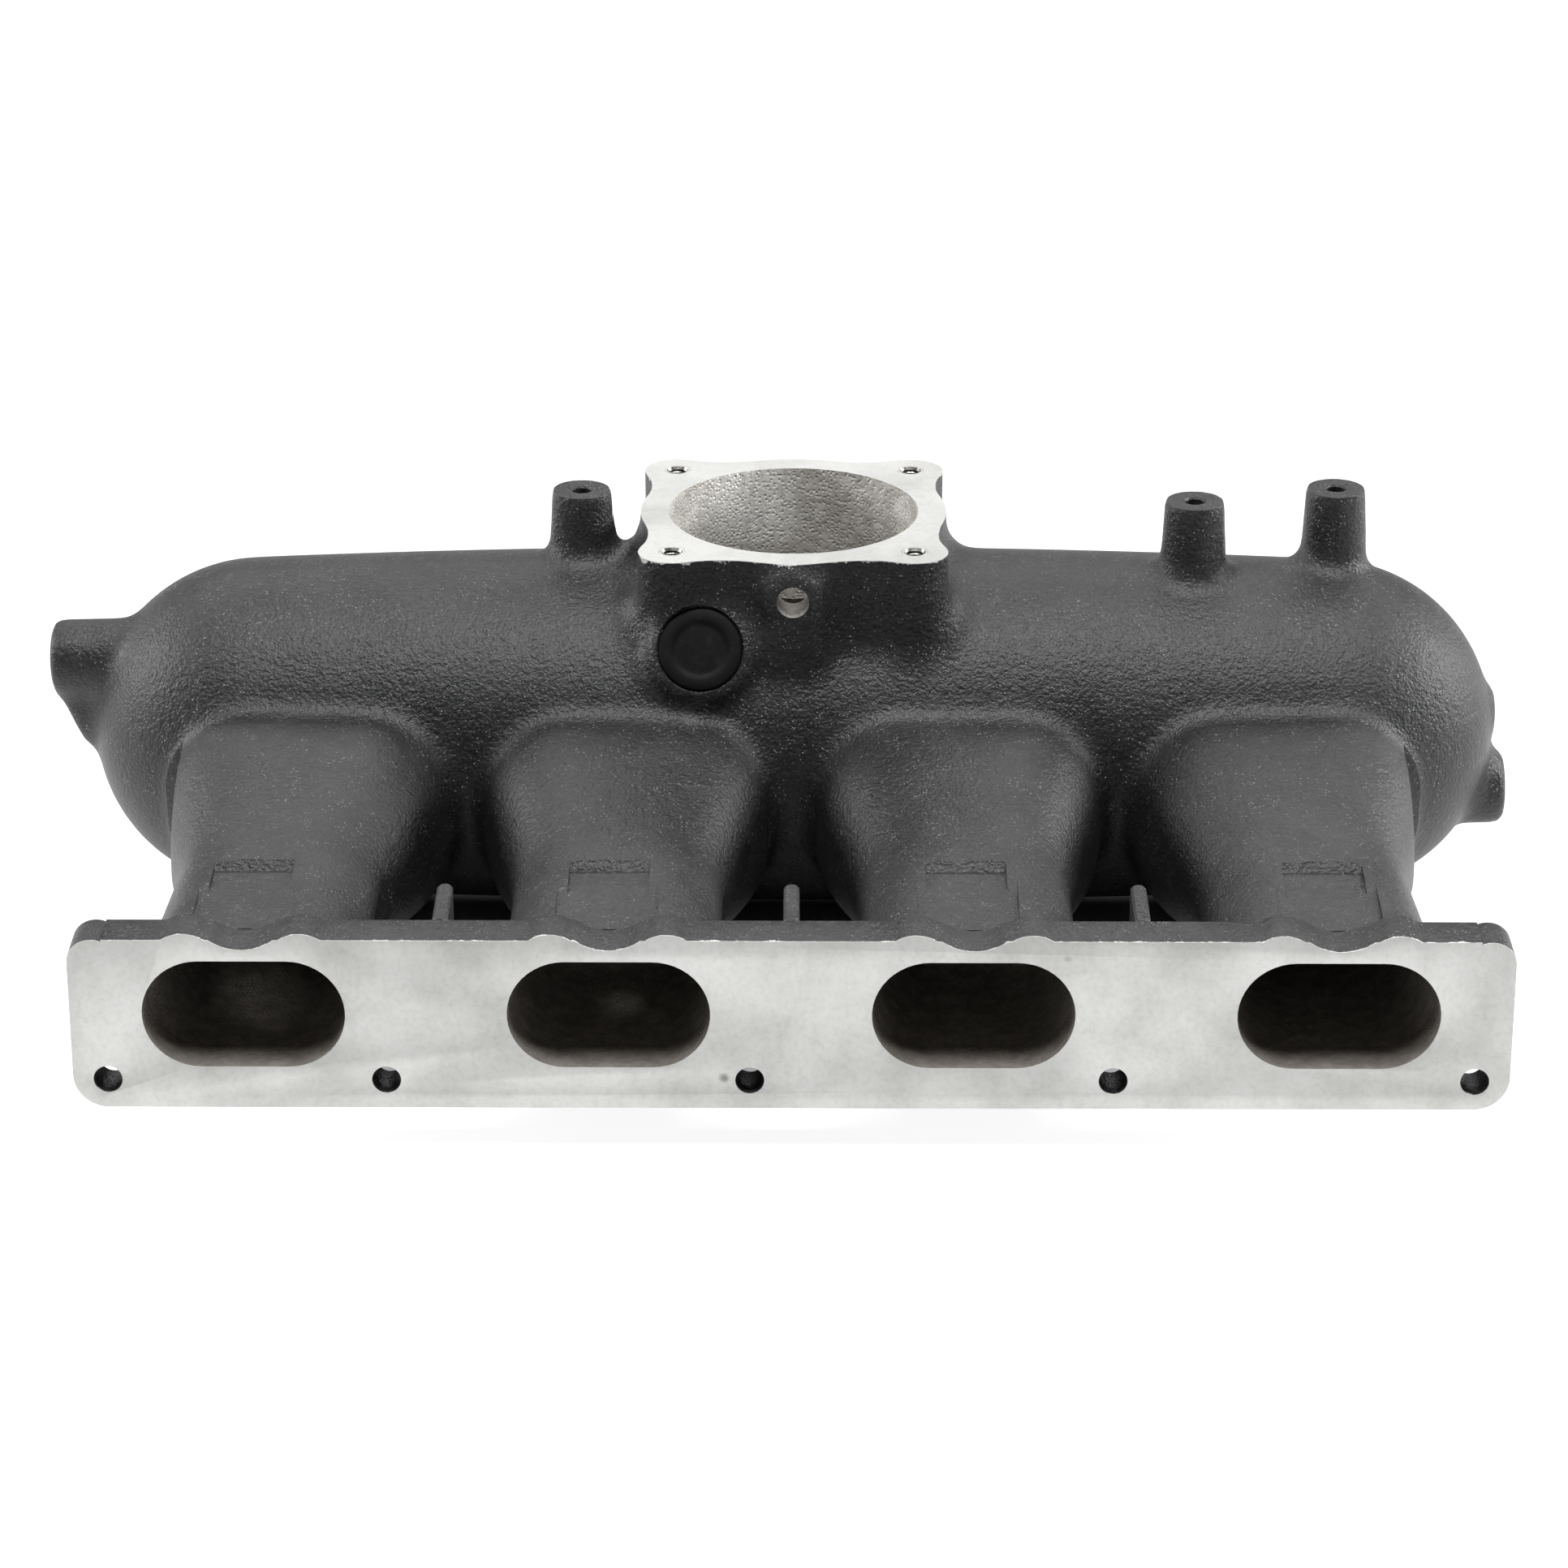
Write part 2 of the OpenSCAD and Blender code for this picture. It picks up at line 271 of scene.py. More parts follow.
@dataclass(frozen=True)
class PowderCoat:
    """Fine-textured charcoal coating over a cast skin."""

    name: str = "cast_coat"
    dark: Triple = (0.0060, 0.0062, 0.0066)
    light: Triple = (0.027, 0.027, 0.028)
    # colour of the glint specks, which are painted highlights
    painted_glint: Triple = (0.34, 0.34, 0.34)
    grain: float = 1150.0
    sheen_roughness: float = 0.33
    gloss: float = 0.42

    def layers(self, g: Graph, place: Wire) -> Tuple[Wire, Wire, Wire]:
        """Adds the coating to a graph.

        Args:
            g: The graph.
            place: Coordinates of the pattern.

        Returns:
            The coating's colour, roughness and normal.
        """
        broad = g.noise(place, 55.0, 4.0)
        fine = g.noise(place, self.grain, 2.0, 0.6)
        orange = g.noise(place, 520.0, 2.0)
        # glint: scattered specks painted bright in the colour below as painted highlights; there the coat is
        # also smoother and raised
        glint = g.cells(place, 900.0).span(0.30, 0.08) * g.noise(place, 240.0, 2.0).span(0.44, 0.62)
        colour = g.blend(broad.span(0.35, 0.68) * 0.35 + 0.65 * fine.span(0.32, 0.70), self.dark, self.light)
        colour = g.blend(glint * 0.55, colour, self.painted_glint)
        rough = self.sheen_roughness + 0.12 * broad + 0.12 * fine - 0.12 * glint
        cast = g.bump(broad, 0.25, 0.0012)
        skin = g.bump(orange, 0.9, 0.00034, cast)
        return colour, rough, g.bump(fine + glint * 0.5, 0.9, 0.00042, skin)

    def make(self) -> Material:
        """Builds the coating's material."""
        g = Graph(self.name)
        colour, rough, normal = self.layers(g, g.place())
        return g.finish(Base_Color=colour, Roughness=rough, Specular_IOR_Level=self.gloss, Normal=normal)


@dataclass(frozen=True)
class MachinedAluminium:
    """Milled aluminium face with cutter marks, faint stains and a few pits."""

    name: str = "machined_face"
    bright: Triple = (0.66, 0.66, 0.645)
    dull: Triple = (0.40, 0.40, 0.385)
    stain: Triple = (0.20, 0.19, 0.18)
    roughness: float = 0.43
    metallic: float = 0.70

    def make(self) -> Material:
        """Builds the machined material."""
        g = Graph(self.name)
        place = g.place()
        marks = g.noise(g.stretch(place, (1.0, 1.0, 14.0)), 260.0, 3.0, 0.6)
        cloud = g.noise(place, 34.0, 5.0, 0.62)
        speck = g.noise(place, 620.0, 3.0, 0.7)
        pits = g.cells(place, 95.0).span(0.16, 0.03) * g.noise(place, 27.0, 2.0).span(0.60, 0.70)
        dulled = cloud.span(0.36, 0.74) * 0.55 + 0.25 * speck.span(0.40, 0.75)
        colour = g.blend(dulled, self.bright, self.dull)
        colour = g.blend(pits * 0.8, colour, self.stain)
        rough = self.roughness + 0.16 * cloud + 0.10 * marks + 0.2 * pits
        normal = g.bump(marks, 0.18, 0.00010)
        normal = g.bump(speck, 0.22, 0.00010, normal)
        return g.finish(Base_Color=colour, Roughness=rough, Metallic=self.metallic,
                        Normal=g.bump(1.0 - pits, 0.5, 0.0004, normal))


@dataclass(frozen=True)
class RawCasting:
    """Sand-cast aluminium left bare inside the passages."""

    name: str = "raw_casting"
    dark: Triple = (0.36, 0.345, 0.32)
    light: Triple = (0.72, 0.70, 0.655)
    streak: Triple = (0.97, 0.96, 0.93)

    def make(self) -> Material:
        """Builds the bare cast material."""
        g = Graph(self.name)
        place = g.place()
        x, y, z = g.axes(place)
        pits = g.cells(place, 980.0)
        lumps = g.noise(place, 210.0, 4.0, 0.65)
        fine = g.noise(place, 900.0, 2.0)
        colour = g.blend(lumps.span(0.34, 0.70) * 0.6 + 0.4 * fine, self.dark, self.light)
        scratch = g.noise(g.stretch(place, (6.0, 6.0, 0.6)), 150.0, 3.0).span(0.36, 0.56)
        scraped = z.span(0.044, 0.060) * (x + 0.011).absolute().span(0.016, 0.004) * y.span(0.172, 0.185)
        scraped = scraped * (0.6 + 0.4 * scratch)
        # painted shade: darker further down, deep in the bore and in the passages below it
        colour = g.blend(z.span(0.062, 0.040) * 0.55, colour, self.dark)
        colour = g.blend(scraped, colour, self.streak)
        normal = g.bump(pits.span(0.0, 0.55), 0.6, 0.00035)
        normal = g.bump(lumps, 0.5, 0.0005, normal)
        return g.finish(Base_Color=colour, Roughness=0.62 - 0.22 * scraped, Metallic=0.25,
                        Normal=g.bump(fine, 0.3, 0.0002, normal))


@dataclass(frozen=True)
class ChippedEdge:
    """Coated edge of a machined plate whose coating is chipped next to the machined face."""

    name: str
    axis: int
    level: float
    inward: float
    reach: float = 0.0009
    coat: PowderCoat = PowderCoat()
    bare: Triple = (0.60, 0.60, 0.58)

    def make(self) -> Material:
        """Builds the chipped coating's material."""
        g = Graph(self.name)
        place = g.place()
        depth = (g.axes(place)[self.axis] - self.level) * self.inward
        ragged = g.noise(place, 240.0, 4.0, 0.7)
        chip = (self.reach * ragged.span(0.46, 0.78) + 0.00018 - depth).span(0.0, 0.00012)
        colour, rough, normal = self.coat.layers(g, place)
        return g.finish(Base_Color=g.blend(chip, colour, self.bare), Roughness=rough, Metallic=chip * 0.5,
                        Specular_IOR_Level=self.coat.gloss, Normal=normal)


@dataclass(frozen=True)
class PlugRubber:
    """Moulded black cap, slightly worn."""

    name: str = "plug_plastic"
    dark: Triple = (0.0018, 0.0018, 0.0019)
    worn: Triple = (0.009, 0.009, 0.009)

    def make(self) -> Material:
        """Builds the moulded material."""
        g = Graph(self.name)
        place = g.place()
        scuff = g.noise(place, 300.0, 5.0, 0.7)
        fine = g.noise(place, 1800.0, 2.0)
        colour = g.blend(scuff.span(0.5, 0.75), self.dark, self.worn)
        return g.finish(Base_Color=colour, Roughness=0.48 + 0.3 * scuff, Specular_IOR_Level=0.14,
                        Normal=g.bump(scuff + 0.5 * fine, 0.25, 0.0002))


@dataclass(frozen=True)
class InsertSteel:
    """Plated steel of the thread inserts."""

    name: str = "insert_steel"
    dark: Triple = (0.12, 0.115, 0.105)
    light: Triple = (0.42, 0.41, 0.38)

    def make(self) -> Material:
        """Builds the plated steel."""
        g = Graph(self.name)
        place = g.place()
        tone = g.noise(place, 700.0, 3.0)
        colour = g.blend(tone.span(0.35, 0.7), self.dark, self.light)
        return g.finish(Base_Color=colour, Roughness=0.28 + 0.2 * tone, Metallic=1.0,
                        Normal=g.bump(tone, 0.2, 0.0001))


@dataclass(frozen=True)
class PaleFloor:
    """Plain pale studio floor that glows softly all round the object, but not beneath it: the glow is painted
    light over the object's shadow, and the patch left dark beneath the object is painted shade.
    """

    name: str = "pale_floor"
    colour: Triple = (0.34, 0.34, 0.34)
    paler: Triple = (0.36, 0.36, 0.36)
    black: Triple = (0.0, 0.0, 0.0)
    white: Triple = (1.0, 1.0, 1.0)

    def make(self) -> Material:
        """Builds the floor's material."""
        g = Graph(self.name)
        place = g.place()
        tone = g.noise(place, 0.6, 1.0)
        x, y, _ = g.axes(place)
        # under: the object's footprint, where the glow is left out as painted shade
        under = y.span(0.028, 0.036) * y.span(0.145, 0.205, 1.0, 0.0)
        away = 1.0 - x.absolute().span(0.140, 0.168, 1.0, 0.0) * under
        # near: extra glow close round the object, painted light over its shadow
        near = x.absolute().span(0.26, 0.32, 1.0, 0.0) * (y - 0.10).absolute().span(0.17, 0.24, 1.0, 0.0)
        glow = (y.span(0.3, 2.2, 0.50, 1.0) + 0.42 * near) * away
        return g.finish(Base_Color=g.blend(tone, self.colour, self.paler), Roughness=0.9,
                        Emission_Color=g.blend(glow, self.black, self.white), Emission_Strength=1.0)


# ---- mesh work


class Turn(Enum):
    """The way a loft's cross-sections face."""

    ALONG_X = Matrix(((0, 0, 1, 0), (1, 0, 0, 0), (0, 1, 0, 0), (0, 0, 0, 1)))
    ALONG_Y = Matrix(((1, 0, 0, 0), (0, 0, -1, 0), (0, 1, 0, 0), (0, 0, 0, 1)))
    ALONG_Z = Matrix.Identity(4)


@dataclass(frozen=True)
class Ring:
    """One cross-section of a loft: a rounded rectangle, in millimetres.

    Args:
        at: Centre.
        width: Width of the section.
        height: Height of the section.
        corner: Corner radius.
    """

    at: Triple
    width: float
    height: float
    corner: float


def disc(at: Triple, diameter: float) -> Ring:
    """A round cross-section."""
    return Ring(at, diameter, diameter, diameter / 2)


def loft(rings: Sequence[Ring], turn: Matrix, segments: int = 96, into: Optional[Mesh] = None
         ) -> Mesh:
    """Bridges cross-sections into one closed solid.

    Args:
        rings: The cross-sections in order.
        turn: Matrix that turns a section from the XY plane.
        segments: Points round each section.
        into: Mesh that the solid is added to, or None for a new one.

    Returns:
        The mesh with the solid in it.
    """
    bm = into or bmesh.new()
    previous: List[bmesh.types.BMEdge] = []
    walls: List[Face] = []
    ends: List[bmesh.types.BMEdge] = []
    for ring in rings:
        circle = bmesh.ops.create_circle(bm, cap_ends=False, radius=ring.corner * MM, segments=segments)
        verts = circle["verts"]
        for axis, reach in ((0, ring.width / 2 - ring.corner), (1, ring.height / 2 - ring.corner)):
            for side in SIDES:
                group = [v for v in verts if v.co[axis] * side > 1e-8]
                step = Vector((0, 0, 0))
                step[axis] = side * reach * MM
                bmesh.ops.translate(bm, verts=group, vec=step)
        bmesh.ops.transform(bm, matrix=Matrix.Translation(mm(*ring.at)) @ turn, verts=verts)
        edges = list({e for v in verts for e in v.link_edges})
        if previous:
            walls += bmesh.ops.bridge_loops(bm, edges=previous + edges)["faces"]
        else:
            ends += edges
        previous = edges
    ends += previous
    walls += bmesh.ops.holes_fill(bm, edges=ends, sides=0)["faces"]
    bmesh.ops.recalc_face_normals(bm, faces=walls)
    return bm


def turned(direction: Sequence[float]) -> Matrix:
    """Matrix that turns +Z onto a direction."""
    return Vector(direction).to_track_quat("Z", "Y").to_matrix().to_4x4()


def block(low: Sequence[float], high: Sequence[float], bevel: float = 0.0, upright: bool = True,
          into: Optional[Mesh] = None) -> Mesh:
    """A box between two corners in millimetres, with bevelled edges if asked.

    Args:
        low: Lowest corner.
        high: Highest corner.
        bevel: Width of the bevel on its edges.
        upright: Whether only the upright edges are bevelled.
        into: Mesh that it is added to, or None for a new one.

    Returns:
        The mesh with the box in it.
    """
    bm = into or bmesh.new()
    size = [h - l for l, h in zip(low, high)]
    middle = [(h + l) / 2 for l, h in zip(low, high)]
    matrix = Matrix.Translation(mm(*middle)) @ Matrix.Diagonal((*mm(*size), 1.0))
    verts = bmesh.ops.create_cube(bm, size=1.0, matrix=matrix)["verts"]
    if bevel:
        edges = {e for v in verts for e in v.link_edges}
        if upright:
            edges = {e for e in edges if abs((e.verts[0].co - e.verts[1].co).normalized().z) > 0.9}
        bmesh.ops.bevel(bm, geom=list(edges), offset=bevel * MM, affect="EDGES", segments=4, profile=0.5,
                        material=-1, offset_type="OFFSET")
    return bm


def as_object(name: str, bm: Mesh) -> Object:
    """Turns a bmesh into an object of the scene."""
    mesh = bpy.data.meshes.new(name)
    bm.to_mesh(mesh)
    bm.free()
    made = bpy.data.objects.new(name, mesh)
    bpy.context.scene.collection.objects.link(made)
    return made


def zone(low: Sequence[float], high: Sequence[float]) -> Object:
    """A plain box object between two corners in millimetres, used as a cutting tool."""
    return as_object("zone", block(low, high))


def shaded(piece: Object, degrees: float) -> None:
    """Shades a piece smoothly, with crisp edges where its faces turn by more than an angle."""
    for polygon in piece.data.polygons:
        polygon.use_smooth = True
    piece.data.set_sharp_from_angle(angle=math.radians(degrees))


def discard(*objects: Object) -> None:
    """Removes helper objects and their meshes."""
    for item in objects:
        mesh = item.data
        bpy.data.objects.remove(item)
        if mesh.users == 0:
            bpy.data.meshes.remove(mesh)


def applied(source: Object, name: str) -> Object:
    """A new object whose mesh is the source with its modifiers applied."""
    graph = bpy.context.evaluated_depsgraph_get()
    mesh = bpy.data.meshes.new_from_object(source.evaluated_get(graph))
    mesh.name = name
    made = bpy.data.objects.new(name, mesh)
    bpy.context.scene.collection.objects.link(made)
    return made


def closed_over(source: Object, radius: float, voxel: float, name: str) -> Object:
    """Melts overlapping solids into one skin and fills its inner corners with fillets.

    Args:
        source: Overlapping closed solids in one mesh. It is removed.
        radius: Fillet radius in millimetres.
        voxel: Size of the grid in millimetres.
        name: Name of the result.

    Returns:
        The melted skin.
    """
    for step in (radius, -radius):
        remesh = source.modifiers.new("skin", "REMESH")
        remesh.mode = "VOXEL"
        remesh.voxel_size = voxel * MM
        push = source.modifiers.new("push", "DISPLACE")
        push.strength = step * MM
        push.mid_level = 0.0
        if step > 0:
            continue
        again = source.modifiers.new("again", "REMESH")
        again.mode = "VOXEL"
        again.voxel_size = voxel * MM
        ease = source.modifiers.new("ease", "SMOOTH")
        ease.factor = 0.5
        ease.iterations = 2
    made = applied(source, name)
    discard(source)
    return made


def joined(name: str, parts: Iterable[Object]) -> Object:
    """Joins meshes into one new object and removes the parts."""
    bm = bmesh.new()
    parts = list(parts)
    for part in parts:
        bm.from_mesh(part.data)
    discard(*parts)
    return as_object(name, bm)


def cut(source: Object, name: str, steps: Sequence[Tuple[str, Object]]) -> Object:
    """Boolean steps on a mesh.

    Args:
        source: The object that is cut. It is kept.
        name: Name of the result.
        steps: Operation and tool of each step.

    Returns:
        The cut object.
    """
    for operation, tool in steps:
        step = source.modifiers.new(operation.lower(), "BOOLEAN")
        step.operation = operation
        step.object = tool
        step.solver = "MANIFOLD"
    made = applied(source, name)
    source.modifiers.clear()
    return made


def tree_of(item: Object) -> BVHTree:
    """Search tree over an object's faces."""
    bm = bmesh.new()
    bm.from_mesh(item.data)
    tree = BVHTree.FromBMesh(bm)
    bm.free()
    return tree


# ---- the casting


def eased(start: float, end: float, value: float) -> float:
    """How far a value is from start to end, from 0 to 1, with soft ends."""
    share = min(max((value - start) / (end - start), 0.0), 1.0)
    return share * share * (3 - 2 * share)


@dataclass
class Plenum:
    """Sizes of the plenum, in millimetres."""

    y: float = 158.0
    z: float = 11.0
    dome_x: float = 142.5
    end_r: float = 44.5
    swell: float = 3.0
    cap_x: float = 165.0
    steps: int = 24

    def radius(self, x: float) -> float:
        """Radius of the barrel at a distance from the middle."""
        return self.end_r + self.swell * (1 - (x / self.dome_x) ** 2)

    def solid(self, grow: float, segments: int = 144) -> Mesh:
        """The plenum as a closed loft.

        Args:
            grow: Distance in millimetres by which it is larger than the real outside.
            segments: Points round it.

        Returns:
            The mesh.
        """
        reach = self.end_r + grow
        angles = [math.radians(a) for a in (*range(86, 13, -8), 7)]
        dome = [(self.dome_x + reach * math.sin(a), reach * math.cos(a)) for a in angles]
        stations = [-self.dome_x + 2 * self.dome_x * i / self.steps for i in range(self.steps + 1)]
        rings = [(-x, r) for x, r in dome]
        rings += [(x, self.radius(x) + grow) for x in stations]
        rings += reversed(dome)
        return loft([disc((x, self.y, self.z), 2 * r) for x, r in rings], Turn.ALONG_X.value, segments)


@dataclass
class Runner:
    """One runner, from the head flange to its bell on the plenum, in millimetres."""

    port_x: float
    bell_x: float
    start: float = 8.0
    waist_from: float = 34.0
    waist_to: float = 58.0
    bell_y: float = 113.0
    flange_back: float = 12.0
    relief: Tuple[Tuple[float, float], ...] = ((8, 17.9), (44.4, 17.9), (50.4, 23.9), (50.5, 40.0), (8, 40.0))
    step: Tuple[Tuple[float, float], ...] = ((6, 17.2), (28.0, 17.2), (40.0, 20.2), (40.1, 40.0), (6, 40.0))
    relief_half: float = 10.0
    step_half: float = 12.5

    def section(self, y: float, inside: bool) -> Ring:
        """Cross-section of the runner.

        Args:
            y: Distance from the head face.
            inside: Whether it is the passage's section, not the outer one.

        Returns:
            The section.
        """
        share = min(max((y - self.flange_back) / 100.0, 0.0), 1.0)
        flare = eased(self.waist_to, self.bell_y, y)
        narrow = eased(self.flange_back, self.waist_from, y)
        x = self.port_x + (self.bell_x - self.port_x) * share
        z = 2.0 * share
        if inside:
            width, height = 49.0 - 2.5 * narrow + 13.5 * flare, 28.0 + 3.0 * narrow + 13.0 * flare
            corner = height / 2 - 0.001 - 4.0 * flare
        else:
            width, height = 57.0 - 3.5 * narrow + 20.5 * flare, 36.0 + 3.0 * narrow + 17.0 * flare
            corner = 18.0 + 1.4 * narrow + 3.0 * flare
        return Ring((x, y, z), width, height, corner)

    def body(self) -> Mesh:
        """The runner's outer shape."""
        stations = [self.start, *range(12, 114, 5), 126, 138]
        return loft([self.section(y, False) for y in stations], Turn.ALONG_Y.value)

    def passage(self, into: Mesh) -> None:
        """Adds the runner's passage to a mesh."""
        stations = [-2, *range(12, 114, 5), 130, 150]
        loft([self.section(y, True) for y in stations], Turn.ALONG_Y.value, 96, into)

    def pocket(self, upper: Mesh, lower: Mesh) -> None:
        """Adds the stepped relief that clears an injector to two tool meshes.

        Args:
            upper: Mesh of the narrow step nearer the plenum.
            lower: Mesh of the wider step nearer the flange.
        """
        x = self.port_x - 1.0
        tools = ((self.relief, self.relief_half, upper), (self.step, self.step_half, lower))
        for outline, half, into in tools:
            sides = [[into.verts.new(mm(x + side * half, a, b)) for a, b in outline] for side in SIDES]
            faces = [into.faces.new(sides[0]), into.faces.new(list(reversed(sides[1])))]
            for k in range(len(outline)):
                faces.append(into.faces.new((sides[0][k], sides[1][k], sides[1][k - 1], sides[0][k - 1])))
            bmesh.ops.recalc_face_normals(into, faces=faces)


class Slot(IntEnum):
    """Finishes of the cast pieces, in the order of their material slots."""

    COAT = 0
    RAW = 1
    MACHINED = 2
    CHIPPED = 3
    # the darkened casting: painted shade in passages, ports and holes
    PAINTED_SHADE = 4


class Origin(Enum):
    """What a face of a cast piece was made by. Edges between two of them are crisp."""

    SKIN = "skin"
    BORE = "bore"
    PASSAGE = "passage"
    DRILL = "drill"
    MILL = "mill"
    CUT = "cut"


@dataclass
class Casting:
    """The whole casting: blanks, fillets, passages and its cut into named parts."""

    coat: Material
    raw: Material
    shaded_casting: Material
    machined: Material
    chipped: Material
    voxel: float = 1.15
    plenum: Plenum = field(default_factory=Plenum)
    runners: Tuple[Runner, ...] = (Runner(-132, -126), Runner(-44, -43), Runner(44, 43), Runner(132, 126))
    brackets: Tuple[str, ...] = ("left", "inner", "outer")
    bore_d: float = 66.0
    bracket_split_x: float = 124.5
    core_fillet: float = 6.5
    blank_fillet: float = 2.2
    carved_fillet: float = 0.5
    on_skin: float = 3e-5
    on_tool: float = 2e-5
    pieces: Dict[str, Object] = field(default_factory=dict)

    def neck(self) -> Mesh:
        """Outer blank of the throttle neck: a square with round sides and four lobes."""
        x, y, z = THROTTLE
        bm = block((x - 38, y - 38, 15), (x + 38, y + 38, z + 8), 5.0)
        loft([disc((x, y, 15), 81), disc((x, y, z + 8), 81)], Turn.ALONG_Z.value, 96, bm)
        for sx, sy in CORNERS:
            at = (x + sx * THROTTLE_BOLT, y + sy * THROTTLE_BOLT)
            loft([disc((*at, 15), 18), disc((*at, z + 8), 18)], Turn.ALONG_Z.value, 48, bm)
        return bm

    def along_sensor(self, depths: Sequence[Tuple[float, float]], into: Optional[Mesh] = None
                     ) -> Mesh:
        """A turned shape on the sensor port's axis.

        Args:
            depths: Depth from the port's face and diameter of each section.
            into: Mesh that it is added to, or None for a new one.

        Returns:
            The mesh with the shape in it.
        """
        way = Vector(SENSOR_WAY)
        rings = [disc(tuple(Vector(SENSOR_FACE) + way * depth), d) for depth, d in depths]
        return loft(rings, turned(way), 96, into)

    def details(self) -> Mesh:
        """Bosses, end lugs and the root plate behind the head flange."""
        bm = bmesh.new()
        for bracket in self.brackets:
            x, y, _ = mount(f"bracket_hole_{bracket}")
            loft([disc((x, y, 40), 19.5), disc((x, y, 78), 15.8)], Turn.ALONG_Z.value, 64, bm)
        self.along_sensor([(0.0, 27), (2.0, 28), (24.0, 28)], bm)
        self.arch(bm)
        self.end_bosses(bm)
        block((-172.0, 3, -22.5), (172.0, 12.0, 15.0), 4.0, False, bm)
        return bm

    @staticmethod
    def arch(bm: Mesh) -> None:
        """Adds the arched boss of the vacuum port and the nub beside it."""
        _, face, z = mount("vacuum_port")
        loft([disc((0, face, z), 15), disc((0, 130, z), 15.5)], Turn.ALONG_Y.value, 64, bm)
        foot = [Ring((0.4, y, 50), w, 21 + w / 2, 4) for y, w in ((119.6, 14), (130, 16))]
        loft(foot, Turn.ALONG_Y.value, 48, bm)
        loft([disc((-9, 123.4, 51.5), 3), disc((-9, 127, 51.5), 5)], Turn.ALONG_Y.value, 24, bm)

    @staticmethod
    def end_bosses(bm: Mesh) -> None:
        """Adds the left boss with its skirt, the right boss and the right pad."""
        left = [disc((-197.7, 157, 30), 19.6), disc((-196.6, 157, 30), 20.6), disc((-160, 157, 28.5), 25)]
        skirt = [Ring((-196, 157, 25), 10, 10, 4), Ring((-192.5, 157, 21.5), 12, 19, 4),
                 Ring((-189.5, 157, 19), 13, 25, 3), Ring((-160, 157, 18), 18, 27, 3)]
        right = [disc((160, 157, -6.5), 21), disc((190.2, 157, -6.5), 20), disc((191.2, 157, -6.5), 18)]
        pad = [disc((168, 158, 15), 15), disc((187.8, 158, 15), 13)]
        for rings, segments in ((left, 64), (skirt, 48), (right, 64), (pad, 64)):
            loft(rings, Turn.ALONG_X.value, segments, bm)

    def skin(self) -> Object:
        """The casting's outer skin with its fillets."""
        voxel = self.voxel * 1.0
        core = joined("core", [as_object("plenum", self.plenum.solid(0.0)), as_object("neck", self.neck())])
        core = closed_over(core, self.core_fillet, voxel, "core")
        blanks = [core] + [as_object("runner", runner.body()) for runner in self.runners]
        blanks.append(as_object("details", self.details()))
        skin = closed_over(joined("blank", blanks), self.blank_fillet, voxel, "skin")
        pockets = self.pockets()
        carved = cut(skin, "carved", [("DIFFERENCE", pocket) for pocket in pockets])
        discard(skin, *pockets)
        return closed_over(carved, self.carved_fillet, voxel, "skin")

    def pockets(self) -> List[Object]:
        """Spanner scoops and the gap beside the neck, cut before the skin's last smoothing."""
        scoops = bmesh.new()
        middle = mount("head_bolt_middle")[0]
        for x in (middle - PORT_PITCH, middle, middle + PORT_PITCH):
            loft([disc((x, 10, -12), 22), disc((x, 44, -8), 25), disc((x + 1, 62, -2), 20),
                  disc((x + 2, 71, 3), 8)], Turn.ALONG_Y.value, 64, scoops)
        slot = block((-46.9, 130, 60.5), (-42.2, 190, 82), 2.0)
        return [as_object("scoops", scoops), as_object("slot", slot)]

    def tools(self) -> Dict[str, Object]:
        """Everything that is cut out of the casting, in groups whose shapes don't touch one another."""
        x, y, z = THROTTLE
        planes = block((x - 46.5, y - 60, z), (x + 46.5, y + 60, z + 30))
        tops, passages, taps, upper, lower, holes = (bmesh.new() for _ in range(6))
        for bracket in self.brackets:
            bx, by, top = mount(f"bracket_hole_{bracket}")
            block((bx - 16, by - 16, top), (bx + 16, by + 16, top + 20), into=tops)
            tap = ((top - 14, 5), (top - 0.5, 5), (top + 0.2, 6.2), (top + 4, 6.2))
            loft([disc((bx, by, height), d) for height, d in tap], Turn.ALONG_Z.value, 48, taps)
        for runner in self.runners:
            runner.passage(passages)
            runner.pocket(upper, lower)
        bore_ends = [disc((x, y, height), self.bore_d) for height in (self.plenum.z, z + 12)]
        bore = loft(bore_ends, Turn.ALONG_Z.value, 192)
        for sx, sy in CORNERS:
            at = (x + sx * THROTTLE_BOLT, y + sy * THROTTLE_BOLT)
            loft([disc((*at, z - 12), 7), disc((*at, z + 4), 7)], Turn.ALONG_Z.value, 48, holes)
        self.along_sensor([(-6.0, 22.9), (0.35, 22.9), (0.8, 22), (10.0, 22), (10.01, 12), (60, 12)], holes)
        port = [disc((0, along, 60.4), 8.4) for along in (112, 122.5, 126, 130, 134)]
        vacuum = loft(port, Turn.ALONG_Y.value, 64)
        groups = {"planes": planes, "tops": tops, "upper": upper, "lower": lower, "taps": taps,
                  "passages": passages, "chamber": self.plenum.solid(-4.0), "bore": bore, "holes": holes,
                  "vacuum": vacuum}
        return {name: as_object(name, bm) for name, bm in groups.items()}

